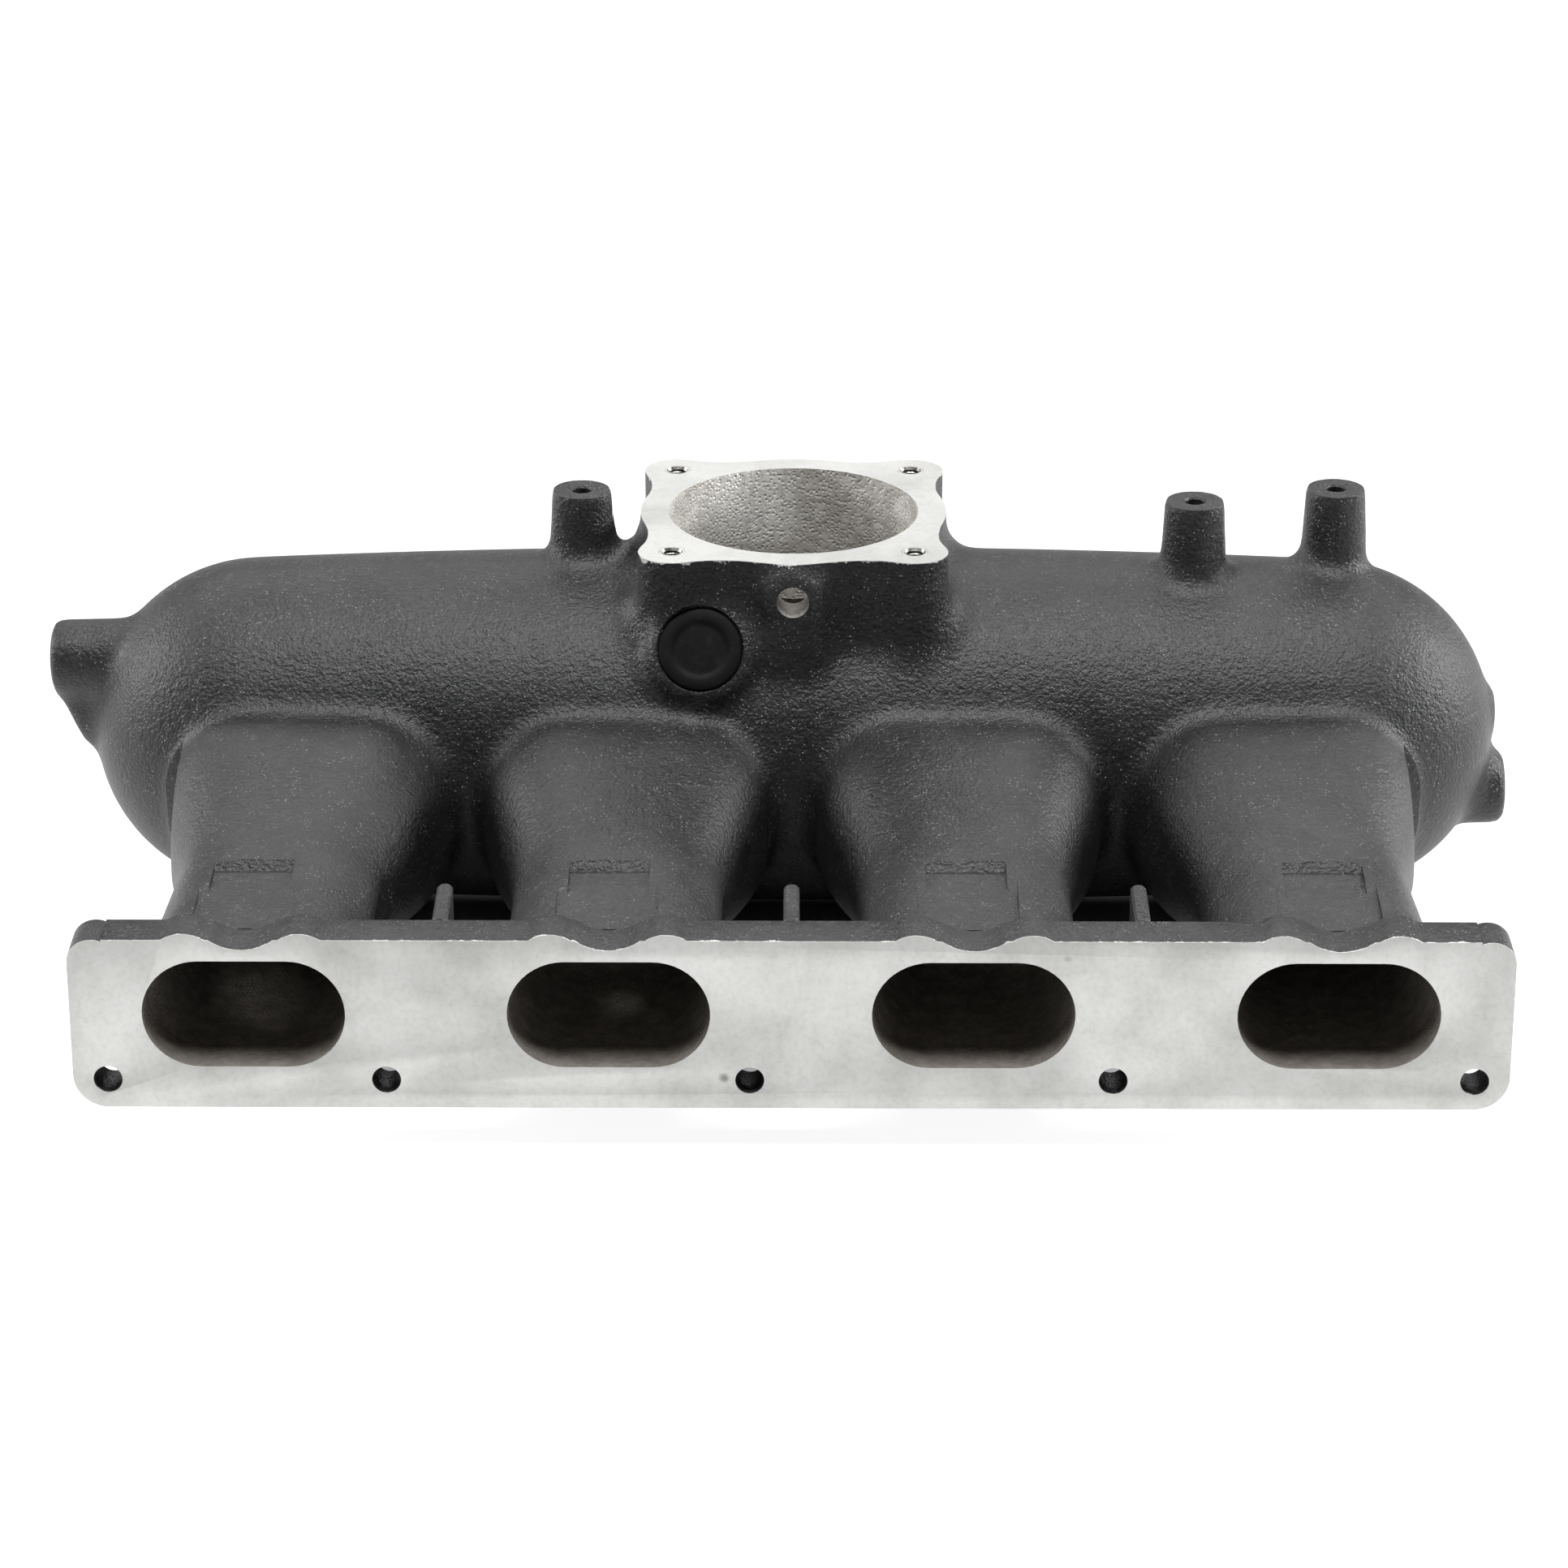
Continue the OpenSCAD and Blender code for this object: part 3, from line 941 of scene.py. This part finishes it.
    def build(self) -> None:
        """Makes the casting and all its named parts."""
        skin = self.skin()
        tools = self.tools()
        whole = cut(skin, "whole", [("DIFFERENCE", tool) for tool in tools.values()])
        LOG.info("casting: %d faces", len(whole.data.polygons))
        grown = as_object("grown", self.plenum.solid(0.9))
        shell = cut(whole, "shell", [("INTERSECT", grown)])
        rest = cut(whole, "rest", [("DIFFERENCE", grown)])
        self.split_plenum(shell)
        self.split_runners(rest)
        self.split_neck(rest)
        self.split_bosses(rest)
        bare = [tree_of(tools[name]) for name in ("bore", "passages", "chamber")]
        drilled = [tree_of(tools[name]) for name in ("holes", "vacuum")]
        outer = tree_of(skin)
        for name, piece in self.pieces.items():
            self.dress(name, piece, outer, bare, drilled)
        discard(skin, whole, grown, shell, rest, *tools.values())

    def take(self, source: Object, name: str, *zones: Object) -> None:
        """Keeps the part of an object that lies in all the zones as a named piece."""
        self.pieces[name] = cut(source, name, [("INTERSECT", item) for item in zones])
        discard(*zones)

    def split_plenum(self, shell: Object) -> None:
        """Cuts the plenum into its two domes and the barrel between them."""
        cap = self.plenum.cap_x
        self.take(shell, "plenum_left_dome", zone((-260, 60, -90), (-cap, 260, 120)))
        self.take(shell, "plenum_barrel", zone((-cap, 60, -90), (cap, 260, 120)))
        self.take(shell, "plenum_right_dome", zone((cap, 60, -90), (260, 260, 120)))

    def split_runners(self, rest: Object) -> None:
        """Cuts the four runners apart halfway between them, the outer ones short of the end bosses."""
        edges = (-230.0, -84.5, 0.0, 84.5, 230.0)
        for i, (low, high) in enumerate(zip(edges, edges[1:])):
            zones = [zone((low, 12.0, -60), (high, 156, 33))]
            if i in (0, 3):
                zones.append(zone((-159, 10.0, -61), (159, 157, 34.5)))
            self.take(rest, f"runner_{i + 1}", *zones)

    def split_neck(self, rest: Object) -> None:
        """Cuts the throttle flange, the neck below it and the neck's two port bosses."""
        x, y, z = THROTTLE
        top = zone((x - 50, y - 52, z - 8), (x + 50, y + 52, z + 4))
        under = zone((x - 75, y - 56, 33), (x + 75, y + 70, z - 8))
        sensor = as_object("sensor", self.along_sensor([(-4.0, 27), (22.0, 27)]))
        arch = zone((-8, 110, 20), (8, 128.5, z - 8.001))
        side = zone((x - 48, y - 56, 33), (x + 75, y + 70, z + 9))
        neck = cut(rest, "neck", [("INTERSECT", side)])
        steps = {
            "throttle_flange": [("INTERSECT", top)],
            "throttle_neck": [("INTERSECT", under), ("DIFFERENCE", sensor), ("DIFFERENCE", arch)],
            "sensor_port_boss": [("INTERSECT", sensor), ("INTERSECT", under)],
            "vacuum_port_boss": [("INTERSECT", arch), ("DIFFERENCE", sensor)],
        }
        for name, cuts in steps.items():
            self.pieces[name] = cut(neck, name, cuts)
        discard(neck, top, under, side, sensor, arch)

    def split_bosses(self, rest: Object) -> None:
        """Cuts out the bracket bosses and the bosses on the plenum's ends."""
        split = self.bracket_split_x
        left, inner, outer = (mount(f"bracket_hole_{bracket}") for bracket in self.brackets)
        self.take(rest, "bracket_boss_left", zone((left[0] - 24, left[1] - 22, 33), (-48, left[1] + 22, 90)))
        self.take(rest, "bracket_boss_inner", zone((80, inner[1] - 24, 33), (split, inner[1] + 24, 90)))
        self.take(rest, "bracket_boss_outer", zone((split, outer[1] - 24, 20), (170, outer[1] + 24, 90)))
        self.take(rest, "left_end_boss", zone((-240, 130, 5), (-160, 190, 60)))
        self.take(rest, "right_end_boss", zone((160, 130, -40), (240, 190, 4.5)))
        self.take(rest, "right_end_pad", zone((160, 130, 4.5), (240, 190, 33)))

    def dress(self, name: str, piece: Object, outer: BVHTree, bare: List[BVHTree],
              drilled: List[BVHTree]) -> None:
        """Gives each face of a part its finish and its edges their shading.

        Args:
            name: The CAD node that the piece stands for.
            piece: The piece.
            outer: The outer skin.
            bare: Tools that leave raw casting behind.
            drilled: Tools that leave machined metal behind.
        """
        mesh = piece.data
        mesh.materials.clear()
        for material in (self.coat, self.raw, self.machined, self.chipped, self.shaded_casting):
            mesh.materials.append(material)
        bm = bmesh.new()
        bm.from_mesh(mesh)
        origins: Dict[Face, Origin] = {}
        for face in bm.faces:
            face.smooth = True
            origins[face], face.material_index = self.sorted_face(name, face, outer, bare, drilled)
        for edge in bm.edges:
            pair = edge.link_faces
            bent = edge.calc_face_angle(0.0) > math.radians(38)
            edge.smooth = len(pair) == 2 and origins[pair[0]] == origins[pair[1]] and not bent
        bm.to_mesh(mesh)
        bm.free()
        piece.name = f"{name}_cast"
        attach(piece, "manifold")
        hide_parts(name)
        LOG.info("%s: %d faces", piece.name, len(mesh.polygons))

    def sorted_face(self, name: str, face: Face, outer: BVHTree, bare: List[BVHTree],
                    drilled: List[BVHTree]) -> Tuple[Origin, Slot]:
        """Finds out what made a face.

        Args:
            name: The CAD node that the piece stands for.
            face: The face.
            outer: The outer skin.
            bare: Tools that leave raw casting behind, the throttle bore first.
            drilled: Tools that leave machined metal behind.

        Returns:
            What made the face, and its finish.
        """
        centre = face.calc_center_median()
        if self.near(outer, centre, self.on_skin):
            return Origin.SKIN, Slot.CHIPPED if name == "throttle_flange" else Slot.COAT
        if self.near(bare[0], centre, self.on_tool):
            return Origin.BORE, Slot.RAW
        # passage walls take the darkened casting: painted shade inside the passages
        if any(self.near(tree, centre, self.on_tool) for tree in bare[1:]):
            return Origin.PASSAGE, Slot.PAINTED_SHADE
        if any(self.near(tree, centre, self.on_tool) for tree in drilled):
            return Origin.DRILL, self.drilled_finish(name, face)
        # the milled top takes the darker machined copy given in main: painted shade
        if abs(centre.z - THROTTLE[2] * MM) < self.on_tool and face.normal.z > 0.9:
            return Origin.MILL, Slot.MACHINED
        return Origin.CUT, Slot.COAT

    @staticmethod
    def drilled_finish(name: str, face: Face) -> Slot:
        """Finish of a drilled face: painted shade deep in a hole and on upward faces, coated round the plug,
        bright elsewhere.

        Args:
            name: The CAD node that the piece stands for.
            face: The face.

        Returns:
            The finish.
        """
        if name == "sensor_port_boss":
            return Slot.COAT
        centre = face.calc_center_median()
        in_vacuum_port = name in ("vacuum_port_boss", "throttle_neck") and abs(centre.x) < 6 * MM
        deep = in_vacuum_port and centre.y > 122.5 * MM and abs(face.normal.y) < 0.99
        return Slot.PAINTED_SHADE if deep or face.normal.z > 0.9 else Slot.MACHINED

    @staticmethod
    def near(tree: BVHTree, point: Vector, limit: float) -> bool:
        """Whether a point lies on the tree's surface."""
        return tree.find_nearest(point, limit)[0] is not None


# ---- crisp parts


@dataclass
class HeadFlange:
    """The machined plate that bolts to the cylinder head, from its CAD node with eased edges."""

    machined: Material
    chipped: Material
    raw: Material
    ease: float = 0.45
    port_middle: float = 10.5
    port_reach: float = 14.04

    def build(self) -> None:
        """Copies the node, eases its edges and sorts its finishes."""
        bm = bmesh.new()
        bm.from_mesh(frame["nodes"]["head_flange"].data)
        bmesh.ops.remove_doubles(bm, verts=bm.verts, dist=1e-6)
        bmesh.ops.dissolve_limit(bm, angle_limit=math.radians(0.5), verts=bm.verts, edges=bm.edges)
        rims = [e for e in bm.edges if len(e.link_faces) == 2 and e.calc_face_angle(0.0) > math.radians(50)
                and abs((e.verts[0].co - e.verts[1].co).normalized().y) < 0.5]
        bmesh.ops.bevel(bm, geom=rims, offset=self.ease * MM, affect="EDGES", segments=2, profile=0.5,
                        material=-1, offset_type="OFFSET", clamp_overlap=True)
        piece = as_object("head_flange_plate", bm)
        mesh = piece.data
        for material in (self.chipped, self.machined, self.raw):
            mesh.materials.append(material)
        ports = [(p - 1.5) * PORT_PITCH * MM for p in range(4)]
        for polygon in mesh.polygons:
            c, n = polygon.center, polygon.normal
            polygon.use_smooth = True
            past = [math.hypot(max(abs(c.x - x) - self.port_middle * MM, 0.0), c.z) for x in ports]
            inside = min(past) < self.port_reach * MM
            if n.y < -0.9:
                polygon.material_index = 1
            # port walls take the darkened casting: painted shade inside the ports
            elif inside and abs(n.y) < 0.9:
                polygon.material_index = 2
        mesh.set_sharp_from_angle(angle=math.radians(32))
        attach(piece, "manifold")
        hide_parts("head_flange")
        LOG.info("head_flange_plate: %d faces", len(mesh.polygons))


@dataclass
class Rib:
    """One stiffening rib behind the head flange, in millimetres."""

    node: str
    coat: Material

    def build(self) -> None:
        """Makes a rounded, slightly drafted rib in its CAD node's box."""
        low, high = ([value / MM for value in corner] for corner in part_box(self.node))
        width, depth = high[0] - low[0], high[1] - low[1]
        x, y = (low[0] + high[0]) / 2, (low[1] + high[1]) / 2
        rings = []
        for z, draft in ((low[2], 0.0), (high[2] - 0.6, 0.15), (high[2], 1.3)):
            w = width - draft
            rings.append(Ring((x, y, z), w, depth - draft, min(w / 2 - 0.01, 1.9)))
        piece = as_object(f"{self.node}_cast", loft(rings, Turn.ALONG_Z.value, 48))
        piece.data.materials.append(self.coat)
        shaded(piece, 40)
        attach(piece, "manifold")
        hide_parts(self.node)
        LOG.info("%s: rib", piece.name)


@dataclass
class ThreadInserts:
    """The four thread inserts of the throttle flange, with their thread grooves."""

    steel: Material
    machined: Material
    outer_d: float = 7.0
    crest_d: float = 5.0
    root_d: float = 5.9
    pitch: float = 0.9
    depth: float = 12.0

    def build(self) -> None:
        """Turns each insert from its profile."""
        bm = bmesh.new()
        x, y, z = THROTTLE
        outside = self.outer_d - 0.02
        stations = [(-self.depth, outside), (-0.12, outside), (0.0, self.outer_d - 0.2), (0.0, self.root_d)]
        for i in range(int(self.depth / self.pitch)):
            top = -0.25 - i * self.pitch
            stations += [(top - self.pitch * 0.5, self.crest_d), (top - self.pitch, self.root_d)]
        stations.append((-self.depth, self.crest_d))
        for sx, sy in CORNERS:
            self.turn_shell(bm, mm(x + sx * THROTTLE_BOLT, y + sy * THROTTLE_BOLT, z), stations)
        piece = as_object("thread_inserts_cut", bm)
        piece.data.materials.append(self.steel)
        piece.data.materials.append(self.machined)
        # the insert tops take the darker machined copy given in main: painted shade
        for polygon in piece.data.polygons:
            if polygon.normal.z > 0.9 and polygon.center.z > (z - 0.1) * MM:
                polygon.material_index = 1
        shaded(piece, 30)
        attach(piece, "manifold")
        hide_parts("throttle_thread_inserts")
        LOG.info("thread_inserts_cut: %d faces", len(piece.data.polygons))

    @staticmethod
    def turn_shell(bm: Mesh, base: Vector, stations: Sequence[Tuple[float, float]]) -> None:
        """Spins a closed profile round an insert's axis.

        Args:
            bm: Mesh that the insert is added to.
            base: Where the axis meets the machined face, in metres.
            stations: Height and diameter of each point of the profile, in millimetres.
        """
        verts = [bm.verts.new(base + mm(d / 2, 0, z)) for z, d in stations]
        edges = [bm.edges.new((a, b)) for a, b in zip(verts, verts[1:] + verts[:1])]
        bmesh.ops.spin(bm, geom=verts + edges, cent=base, axis=(0, 0, 1), dvec=(0, 0, 0), angle=math.tau,
                       steps=40, use_merge=True)
        faces = [f for f in bm.faces if (f.calc_center_median() - base).length < 0.02]
        bmesh.ops.recalc_face_normals(bm, faces=faces)


@dataclass
class BlankingPlug:
    """The moulded plug in the sensor port and its O-ring."""

    rubber: Material
    radius: float = 10.92
    groove_r: float = 8.95
    length: float = 9.0

    def build(self) -> None:
        """Turns the plug from its profile: rim, shallow recess, groove for the ring."""
        face = [(0.0, 0.42), (5.6, 0.46), (6.3, 0.5), (6.8, 0.42), (7.4, 0.1), (8.0, 0.0), (10.2, 0.02),
                (10.7, 0.25)]
        side = [(self.radius, 0.8), (self.radius, 4.4), (self.groove_r, 4.55), (self.groove_r, 6.45),
                (self.radius, 6.6), (self.radius, 8.4)]
        stations = face + side + [(10.3, self.length), (0.0, self.length)]
        bm = bmesh.new()
        verts = [bm.verts.new(mm(r, 0, depth)) for r, depth in stations]
        edges = [bm.edges.new(pair) for pair in zip(verts, verts[1:])]
        bmesh.ops.spin(bm, geom=verts + edges, cent=(0, 0, 0), axis=(0, 0, 1), dvec=(0, 0, 0), angle=math.tau,
                       steps=96, use_merge=True)
        bmesh.ops.remove_doubles(bm, verts=bm.verts, dist=1e-6)
        bmesh.ops.recalc_face_normals(bm, faces=bm.faces)
        matrix = Matrix.Translation(mm(*SENSOR_FACE)) @ turned(SENSOR_WAY)
        bmesh.ops.transform(bm, matrix=matrix, verts=bm.verts)
        piece = as_object("blanking_plug_moulded", bm)
        piece.data.materials.append(self.rubber)
        shaded(piece, 50)
        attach(piece, "plug")
        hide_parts("blanking_plug")
        LOG.info("blanking_plug_moulded: %d faces", len(piece.data.polygons))

    def dress_ring(self) -> None:
        """Gives the CAD O-ring its rubber."""
        ring = frame["nodes"]["plug_o_ring"]
        ring.data.materials.clear()
        ring.data.materials.append(self.rubber)
        LOG.info("%s: rubber", ring.name)


# ---- studio


@dataclass
class Studio:
    """Camera, pale floor and soft lights."""

    target: Triple = (-0.0017, 0.0, 0.0606)
    distance: float = 1.2
    elevation: float = 23.1
    yaw: float = 0.29
    lens: float = 116.65
    white: Tuple[float, float, float, float] = (1.0, 1.0, 1.0, 1.0)
    air_glow: float = 0.06

    def camera(self) -> None:
        """Sets the camera."""
        e, a = math.radians(self.elevation), math.radians(self.yaw)
        forward = Vector((-math.sin(a) * math.cos(e), math.cos(a) * math.cos(e), -math.sin(e)))
        data = bpy.data.cameras.new("camera")
        data.lens, data.sensor_width = self.lens, 36.0
        data.clip_start, data.clip_end = 0.01, 50.0
        item = bpy.data.objects.new("camera", data)
        item.location = Vector(self.target) - forward * self.distance
        item.rotation_euler = forward.to_track_quat("-Z", "Y").to_euler()
        bpy.context.scene.collection.objects.link(item)
        bpy.context.scene.camera = item

    def floor(self, level: float) -> None:
        """Makes the floor at a height."""
        bm = bmesh.new()
        bmesh.ops.create_grid(bm, x_segments=8, y_segments=8, size=9.0,
                              matrix=Matrix.Translation((0, 0, level)))
        item = as_object("floor", bm)
        item.data.materials.append(PaleFloor().make())

    def light(self, name: str, at: Sequence[float], aim: Sequence[float], size: Tuple[float, float],
              watts: float) -> None:
        """Adds one soft rectangular light.

        Args:
            name: Name of the light.
            at: Where it stands.
            aim: The point it faces.
            size: Its width and height in metres.
            watts: Its power.
        """
        data = bpy.data.lights.new(name, "AREA")
        data.shape, data.size, data.size_y, data.energy = "RECTANGLE", size[0], size[1], watts
        item = bpy.data.objects.new(name, data)
        item.location = at
        item.rotation_euler = (Vector(aim) - Vector(at)).to_track_quat("-Z", "Y").to_euler()
        bpy.context.scene.collection.objects.link(item)

    def build(self, level: float) -> None:
        """Builds the studio."""
        self.camera()
        self.floor(level)
        self.light("key_box", (0.05, -0.20, 1.75), (0, 0.1, 0), (1.5, 0.8), 50.0)
        self.light("top_box", (0.0, 1.6, 1.15), (0, 0.1, 0), (2.8, 0.4), 20.0)
        self.light("left_box", (-1.30, 0.45, 0.50), (0, 0.1, 0.02), (0.6, 0.5), 14.0)
        self.light("right_box", (1.30, 0.45, 0.50), (0, 0.1, 0.02), (0.6, 0.5), 20.0)
        world = bpy.data.worlds.new("studio")
        world.use_nodes = True
        world.node_tree.nodes["Background"].inputs[0].default_value = self.white
        world.node_tree.nodes["Background"].inputs[1].default_value = self.air_glow
        bpy.context.scene.world = world
        bpy.context.scene.view_settings.view_transform = "Standard"


def main() -> None:
    """Builds every piece in order."""
    coat = PowderCoat().make()
    machined = MachinedAluminium().make()
    raw = RawCasting().make()
    throttle_edge = ChippedEdge("throttle_flange_edge", 2, 0.070, -1.0, 0.0016).make()
    head_edge = ChippedEdge("head_flange_edge", 1, 0.0, 1.0).make()
    rubber = PlugRubber().make()
    # a darker copy of the raw casting: painted shade in the passages, ports and holes
    shaded_casting = RawCasting("casting_painted_shade", (0.15, 0.135, 0.12), (0.44, 0.41, 0.37)).make()
    # a darker copy of the machined finish for the throttle face, its drilled walls and the insert tops:
    # painted shade against the top light
    shaded_milled_top = MachinedAluminium("machined_top_painted_shade", (0.50, 0.50, 0.488), (0.32, 0.32, 0.31)).make()
    Casting(coat, raw, shaded_casting, shaded_milled_top, throttle_edge).build()
    HeadFlange(machined, head_edge, shaded_casting).build()
    for node in ("rib_left", "rib_middle", "rib_right"):
        Rib(node, coat).build()
    ThreadInserts(InsertSteel().make(), shaded_milled_top).build()
    plug = BlankingPlug(rubber)
    plug.build()
    plug.dress_ring()
    Studio().build(CAD_BOX[0][2])


if __name__ == "__main__":
    main()
